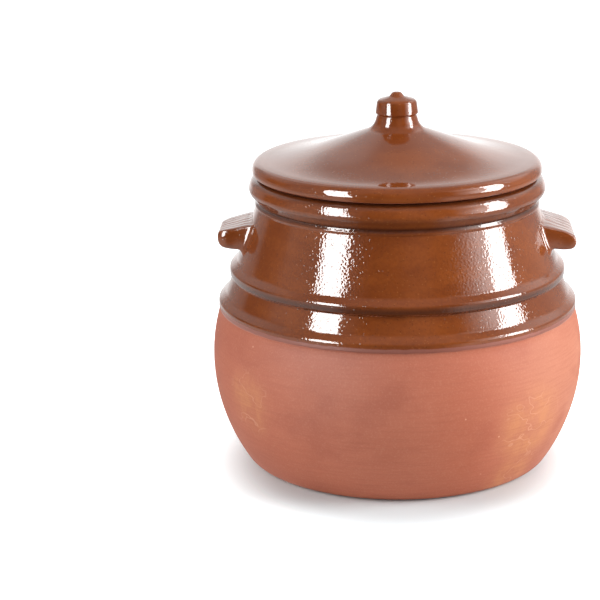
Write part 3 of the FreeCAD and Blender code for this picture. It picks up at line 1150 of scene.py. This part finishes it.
# Bands of painted shade: a height, a reach up and down from it, and the share of brown. They
# darken the notch, the groove under the rim and the rim's top under the lid; in the grooves the
# glaze also runs thick.
painted_shade_bands = [
    (notch[1] + 3.4 * mm, 5.0 * mm, 0.75), (groove_height + 0.3 * mm, 3.4 * mm, 0.85),
    (groove_height + 5.5 * mm, 5.0 * mm, 0.35), (rim_top + 0.4 * mm, 5.0 * mm, 0.85)]
ragged_tone = {"Size": 90.0, "Stretch": 0.3, "Shift": 4.0}
edge_wander = 1.6 * mm
edge_rise = 3.4 * mm
matt_edge = (1.0 * mm, -0.6 * mm)
matt_roughness = 0.4
bare_edge = (-2.6 * mm, -3.2 * mm)
# The heights printed are those of the bands of painted shade.
print("glaze: dark pools at", ["%.0f mm" % (height / mm) for height, _, _ in painted_shade_bands])


# %% Parts of the glaze
def die_out(tree, colour, roughness, border):
    """Speckle, bands of painted shade, and the matt mauve edge where the coat dies out over the
    clay.

    A band of painted shade is a height, a reach up and down from it, and the share of its brown.
    """
    speckle = place_group(tree, mottling, speckle_tone)["Tone"]
    colour = tint(tree, colour, fade(tree, speckle, *speckle_fade), speckle_share, speckle_brown)
    height = parts(tree, own_place(tree))["Z"]
    # Painted shade: brown laid over the glaze in bands at the listed heights.
    for shade_level, reach, share in painted_shade_bands:
        distance_from_shade = math_node(tree, "ABSOLUTE", math_node(tree, "SUBTRACT", height, shade_level))
        colour = tint(tree, colour, fade(tree, distance_from_shade, reach, 0.0), share, shade_band_brown)
    ragged = place_group(tree, mottling, ragged_tone)["Tone"]
    edge = math_node(tree, "MULTIPLY_ADD", ragged, edge_wander, border + edge_rise)
    over = math_node(tree, "SUBTRACT", height, edge)
    matt_share = fade(tree, over, *matt_edge)
    colour = mix_colour(tree, matt_share, colour, mauve)
    clay = place_group(tree, fired_clay)["Colour"]
    colour = mix_colour(tree, fade(tree, over, *bare_edge), colour, clay)
    edge_roughness = math_node(tree, "MULTIPLY", matt_share, matt_roughness)
    return colour, math_node(tree, "MAXIMUM", roughness, edge_roughness)


ridge_squeeze = (0.12, 1.0, 0.3)
ridge_scale = 260.0
ridge_detail = 2.0
ridge_depth = 0.5
facing_up = (0.5, 0.8)


def finger_ridges(tree, relief):
    """Relief with the ridges that fingers leave on a pulled ear's top, running outwards."""
    drawn = vector_math(tree, "MULTIPLY", own_place(tree), ridge_squeeze)["Vector"]
    ridges = noise(tree, drawn, ridge_scale, ridge_detail)
    facing = parts(tree, add_node(tree, "TexCoord").outputs["Normal"])["Z"]
    ridges = math_node(tree, "MULTIPLY", ridges, fade(tree, facing, *facing_up))
    return math_node(tree, "MULTIPLY_ADD", ridges, ridge_depth, relief)


print("ear ridges: noise of scale", ridge_scale)

# %% Glaze material
glaze_roughness = 0.04
glaze_ior = 1.6
border_peel = 0.13
plain_peel = 0.03
ear_peel = 0.10


def close_material(tree, colour, roughness, ior, relief):
    """End a material in a shiny or matt surface, whose relief is in millimetres."""
    bump = add_node(tree, "Bump", None, {"Strength": 1.0, "Distance": mm, "Height": relief})
    shader = add_node(tree, "BsdfPrincipled", None, {
        "Base Color": colour, "Roughness": roughness, "IOR": ior,
        "Normal": bump.outputs["Normal"]})
    add_node(tree, "OutputMaterial", None, {"Surface": shader.outputs[0]})


def glaze_material(name, peel_depth, border=None, pulled=False):
    """Honey-brown glaze, which dies out at a border height or shows a pulled ear's ridges."""
    material, tree = open_material(name)
    skin = place_group(tree, glaze_skin, {"Peel Depth": peel_depth})
    relief = skin["Height"]
    tone = place_group(tree, mottling, glaze_tone)["Tone"]
    colour = mix_colour(tree, fade(tree, tone, *glaze_fade), honey, amber)
    colour = tint(tree, colour, skin["Grains"], grain_share, grain_amber)
    colour = tint(tree, colour, skin["Pinholes"], pinhole_share, pinhole_brown)
    roughness = math_node(
        tree, "MULTIPLY_ADD", skin["Pinholes"], pinhole_roughness, glaze_roughness)
    if border:
        colour, roughness = die_out(tree, colour, roughness, border)
    if pulled:
        relief = finger_ridges(tree, relief)
    close_material(tree, colour, roughness, glaze_ior, relief)
    return material


outer_glaze.data.materials.append(glaze_material(
    "honey_glaze_with_border", border_peel, border_height))
plain_glaze = glaze_material("honey_glaze", plain_peel)
for piece in (inner_glaze, lid_glaze, knob):
    piece.data.materials.append(plain_glaze)
pulled_glaze = glaze_material("honey_glaze_on_ears", ear_peel, pulled=True)
for piece in (left_ear, right_ear):
    piece.data.materials.append(pulled_glaze)
print("glaze on", outer_glaze.name, inner_glaze.name, lid_glaze.name, knob.name)

# %% Clay material
clay_roughness = 0.66
clay_ior = 1.45

bare_clay, clay_tree = open_material("fired_red_clay")
clay = place_group(clay_tree, fired_clay)
close_material(clay_tree, clay["Colour"], clay_roughness, clay_ior, clay["Height"])
for piece in (clay_pot, lid_clay):
    piece.data.materials.append(bare_clay)
print("clay on", clay_pot.name, lid_clay.name)
